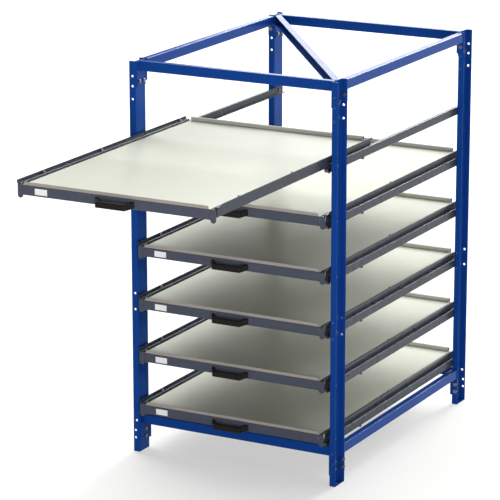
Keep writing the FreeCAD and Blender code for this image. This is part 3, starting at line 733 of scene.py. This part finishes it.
# Trays: 2 mm sheet with a low lip folded up at the front, its ends rounded, and the rear edge rolled to a tube.
# They lie on the ledges of the drawer's sides and are coated in a cream tone with some gloss; the lip's front
# face gets painted shade, a greyer and warmer copy of the cream.
TRAY_SHEET = 0.002
cream_paint = paint("cream powder coat", (0.560, 0.573, 0.512), (0.540, 0.553, 0.494),
                    gloss=0.30, peel=0.012, mirror=0.06, tint=(1, 1, 1))
# Painted shade: a greyer, warmer copy of the cream, put on the lip's front face to darken it where less light
# falls.
lip_painted_shade = paint("cream powder coat, lip with painted shade", (0.395, 0.364, 0.345), (0.380, 0.350, 0.332),
                  gloss=0.40, peel=0.012, mirror=0.05, tint=(1, 1, 1))
ROLL = 0.0105
LIP_TOP = top + 0.027
half = TRAY_SHEET / 2
roll_y = REAR_Y + out_y - ROLL
roll_z = top + LEDGE_Z + ROLL
tray_x = RAIL_IN - 0.001
tray = fold_sheet("tray_sheet", [
    (y + half, LIP_TOP),
    (y + half, top + LEDGE_Z + half),
    (roll_y, top + LEDGE_Z + half),
], 0, -tray_x, tray_x, TRAY_SHEET, 0.003)
LIP_X = tray_x - 0.007
for way in (-1, 1):
    near, far = sorted((way * LIP_X, way * (tray_x + 0.01)))
    bit = block((near, y - 0.01, top + 0.0142), (far, y + 0.01, top + 0.03))
    cut(tray, bit)


def is_lip_end(spot_of):
    return abs(spot_of.z - LIP_TOP) < 1e-4 and abs(abs(spot_of.x) - LIP_X) < 1e-4


open_piece(tray)
pick(tray, "EDGE", is_lip_end)
bpy.ops.mesh.bevel(offset=0.006, segments=6, affect="EDGES")
close_piece()
turns = [math.radians(-90 + 17 * step) for step in range(21)]
roll = fold_sheet("roll", [
    (roll_y + (ROLL - half) * math.cos(turn), roll_z + (ROLL - half) * math.sin(turn)) for turn in turns
], 0, -LIP_X, LIP_X, TRAY_SHEET, 0.0006)
tray = join([tray, roll], "tray_sheet")
soften(tray, 0.0003)
for level, piece in at_levels(tray, "tray_sheet", TRAVEL).items():
    dress(piece, cream_paint, f"drawer_{level}", [f"tray_{level}"])
    # The faces at the very front, the lip's front face, take the painted-shade copy of the cream.
    piece.data.materials.append(lip_painted_shade)
    front_y = min(corner.co.y for corner in piece.data.vertices)
    for face in piece.data.polygons:
        face.material_index = int(face.center.y < front_y + 0.0008)


# Handles: bows of black moulded plastic, screwed to the beam from behind, with spread legs.
# Their edges are well rounded and the plastic has a fine grain.
def plastic(name, colour, worn):
    """Black moulded plastic with a fine spark-eroded grain and slightly shiny, handled patches."""
    material, nodes, links, skin = start_material(name)
    skin.inputs["Specular IOR Level"].default_value = 0.14
    place = nodes.new("ShaderNodeTexCoord")
    patch = noise(nodes, 28, 4)
    mix = two_tones(nodes, colour, worn)
    shine = nodes.new("ShaderNodeMapRange")
    shine.inputs["To Min"].default_value = 0.36
    shine.inputs["To Max"].default_value = 0.56
    grain = nodes.new("ShaderNodeTexVoronoi")
    grain.inputs["Scale"].default_value = 1100
    bump = relief(nodes, 0.25, 0.0004)
    for texture in (patch, grain):
        links.new(place.outputs["Object"], texture.inputs["Vector"])
    links.new(patch.outputs["Fac"], mix.inputs["Factor"])
    links.new(mix.outputs["Result"], skin.inputs["Base Color"])
    links.new(patch.outputs["Fac"], shine.inputs["Value"])
    links.new(shine.outputs["Result"], skin.inputs["Roughness"])
    links.new(grain.outputs["Distance"], bump.inputs["Height"])
    links.new(bump.outputs["Normal"], skin.inputs["Normal"])
    return material


black_plastic = plastic("black moulded plastic", (0.0062, 0.0054, 0.0048), (0.0100, 0.0088, 0.0080))
GRIP_FRONT = 0.072
GRIP_BASE = 0.093
GRIP_BAR = 0.012
GRIP_REACH = 0.042
GRIP_LOW = -0.031
GRIP_TOP = -0.003
GRIP_FOOT = 0.016
back = y - GRIP_REACH + GRIP_BAR
grip = block((-GRIP_FRONT, y - GRIP_REACH, top + GRIP_LOW), (GRIP_FRONT, back, top + GRIP_TOP))
open_piece(grip)
for cut_x in (-GRIP_FRONT + GRIP_BAR, GRIP_FRONT - GRIP_BAR):
    bpy.ops.mesh.select_all(action="SELECT")
    bpy.ops.mesh.bisect(plane_co=(cut_x, 0, 0), plane_no=(1, 0, 0))
for way in (-1, 1):
    bpy.ops.mesh.select_all(action="DESELECT")
    pick(grip, "FACE", lambda spot_of: abs(spot_of.y - back) < 1e-6
         and way * spot_of.x > GRIP_FRONT - GRIP_BAR)
    bpy.ops.mesh.extrude_region_move(
        TRANSFORM_OT_translate={"value": (way * (GRIP_BASE - GRIP_FRONT), GRIP_REACH - GRIP_BAR, 0.006)})
    bpy.ops.transform.resize(value=(GRIP_FOOT / GRIP_BAR, 1, 1), center_override=(way * GRIP_BASE, y, top))
bpy.ops.mesh.select_all(action="DESELECT")
pick(grip, "EDGE", lambda spot_of: abs(spot_of.z - top - (GRIP_LOW + GRIP_TOP) / 2) < 1e-5
     and abs(abs(spot_of.x) - GRIP_FRONT) < 1e-5 and abs(spot_of.y - y + GRIP_REACH) < 1e-5)
bpy.ops.mesh.bevel(offset=0.009, segments=6, affect="EDGES")
close_piece()
soften(grip, 0.0038, 4)
for level, piece in at_levels(grip, "bow_handle", TRAVEL).items():
    dress(piece, black_plastic, f"drawer_{level}", [f"handle_{level}"])


# Label plates: bare white cards in a shallow holder near the left end of each beam.
# The holder is a thin moulded frame, fixed flat to the beam's face.
label_white = paint("white card", (0.96, 0.98, 0.99), (0.94, 0.96, 0.97),
                    gloss=0.42, peel=0.03, mirror=0.5, tint=(1, 1, 1))
CARD_LEFT, CARD_RIGHT = -0.3794, -0.3206
CARD_LOW, CARD_TOP = -0.0222, 0.0037
CARD_DEPTH = 0.0012
card = block((CARD_LEFT, y - CARD_DEPTH, top + CARD_LOW), (CARD_RIGHT, y, top + CARD_TOP))
open_piece(card)
pick(card, "FACE", lambda spot_of: abs(spot_of.y - y + CARD_DEPTH) < 1e-6)
bpy.ops.mesh.inset(thickness=0.0014)
bpy.ops.mesh.inset(thickness=0.0003, depth=-0.0005)
close_piece()
soften(card, 0.0003)
for level, piece in at_levels(card, "label_plate", TRAVEL).items():
    dress(piece, label_white, f"drawer_{level}", [])


# Rail screws: zinc plated studs with a flanged nut, three on the step of each drawer side.
# They hold the cross tubes, and their ends stand a little above the sides' walls.
STUD_PLACES = (0.195, 0.655, 1.330)
places = []
for way in (-1, 1):
    for along in STUD_PLACES:
        places.append(((way * (RAIL_OUT - 0.001), y + along, top + STEP_Z - 0.0005), (0, -math.pi / 2, 0)))
stud = join([bar(24, 0.0038, 0.0125, (0.00625, 0, 0), "x")] + hex_head(0.0125, 0.0065, 0, 1), "stud")
screws = spread(stud, "rail_screw_set", places)
for level, piece in at_levels(screws, "rail_screw_set", TRAVEL).items():
    dress(piece, zinc_steel, f"drawer_{level}", [])


# Floor and light: a wide pale floor that shows as white, a soft lamp behind the rack and one before it, and far
# lamps from the left, the rear and the right. The camera stands where the photograph was taken from.
bpy.ops.object.select_all(action="DESELECT")
bpy.ops.mesh.primitive_plane_add(size=80, location=(0, 0, 0))
floor = bpy.context.object
floor.name = "floor"
floor_paint, nodes, links, shader = start_material("pale floor")
shader.inputs["Base Color"].default_value = (0.45, 0.45, 0.45, 1)
shader.inputs["Roughness"].default_value = 0.9
shader.inputs["Specular IOR Level"].default_value = 0.1
shader.inputs["Emission Color"].default_value = (1, 1, 1, 1)
path = nodes.new("ShaderNodeLightPath")
seen = path.outputs["Is Camera Ray"]
for ray in ("Is Glossy Ray", "Is Transmission Ray"):
    both = nodes.new("ShaderNodeMath")
    both.operation = "MAXIMUM"
    links.new(seen, both.inputs[0])
    links.new(path.outputs[ray], both.inputs[1])
    seen = both.outputs["Value"]
glow = nodes.new("ShaderNodeMath")
glow.operation = "MULTIPLY"
glow.inputs[1].default_value = 0.50
links.new(seen, glow.inputs[0])
links.new(glow.outputs["Value"], shader.inputs["Emission Strength"])
floor.data.materials.append(floor_paint)

world = bpy.data.worlds.new("surround")
bpy.context.scene.world = world
world.use_nodes = True
sky = world.node_tree.nodes["Background"]
sky.inputs["Color"].default_value = (1, 1, 1, 1)
sky.inputs["Strength"].default_value = 0.17


def lamp(name, place, aim, width, height, power, colour):
    """A soft lamp with a rectangular face, turned to the point that it is aimed at."""
    bpy.ops.object.light_add(type="AREA", location=place)
    light = bpy.context.object
    light.name = name
    light.data.shape = "RECTANGLE"
    light.data.size = width
    light.data.size_y = height
    light.data.energy = power
    light.data.color = colour
    light.rotation_euler = (Vector(aim) - Vector(place)).to_track_quat("-Z", "Y").to_euler()


lamp("rear softbox", place=(0.5, 14.0, 6.9), aim=(0, 0, 1.0), width=19.0, height=9.0,
     power=1900, colour=(1, 1, 0.96))
lamp("front softbox", place=(3.5, -9.0, 1.7), aim=(0, 0, 0.9), width=6.0, height=3.2,
     power=370, colour=(1, 0.97, 0.96))


def far_lamp(name, way, power, spread_of):
    """A lamp so far off that its light comes one way all over, with a soft edge to its shadows."""
    bpy.ops.object.light_add(type="SUN", location=-4 * Vector(way))
    light = bpy.context.object
    light.name = name
    light.data.energy = power
    light.data.color = (1, 1, 0.95)
    light.data.angle = math.radians(spread_of)
    light.rotation_euler = Vector(way).to_track_quat("-Z", "Y").to_euler()


far_lamp("left light", way=(0.72, -0.58, -0.95), power=2.5, spread_of=44)
far_lamp("rear light", way=(0, -1, -0.42), power=3.6, spread_of=24)
far_lamp("right light", way=(-0.9, -0.5, -0.85), power=0.5, spread_of=30)
far_lamp("low right light", way=(-1, 0.12, -0.14), power=0.55, spread_of=4)

SENSOR = 36
FOCAL_PIXELS = 2705.3
PICTURE_WIDTH = 500
camera = bpy.data.cameras.new("camera")
camera.sensor_width = SENSOR
camera.lens = FOCAL_PIXELS / PICTURE_WIDTH * SENSOR
camera.clip_end = 200
eye = bpy.data.objects.new("camera", camera)
bpy.context.scene.collection.objects.link(eye)
turn = Euler((math.radians(90 - 15.073), 0, math.radians(28.368))).to_matrix()
turn = turn @ Matrix.Rotation(math.radians(-0.072), 3, "Z")
eye.matrix_world = Matrix.Translation((5.4765, -10.6716, 4.0733)) @ turn.to_4x4()
bpy.context.scene.camera = eye
bpy.context.scene.view_settings.view_transform = "Standard"
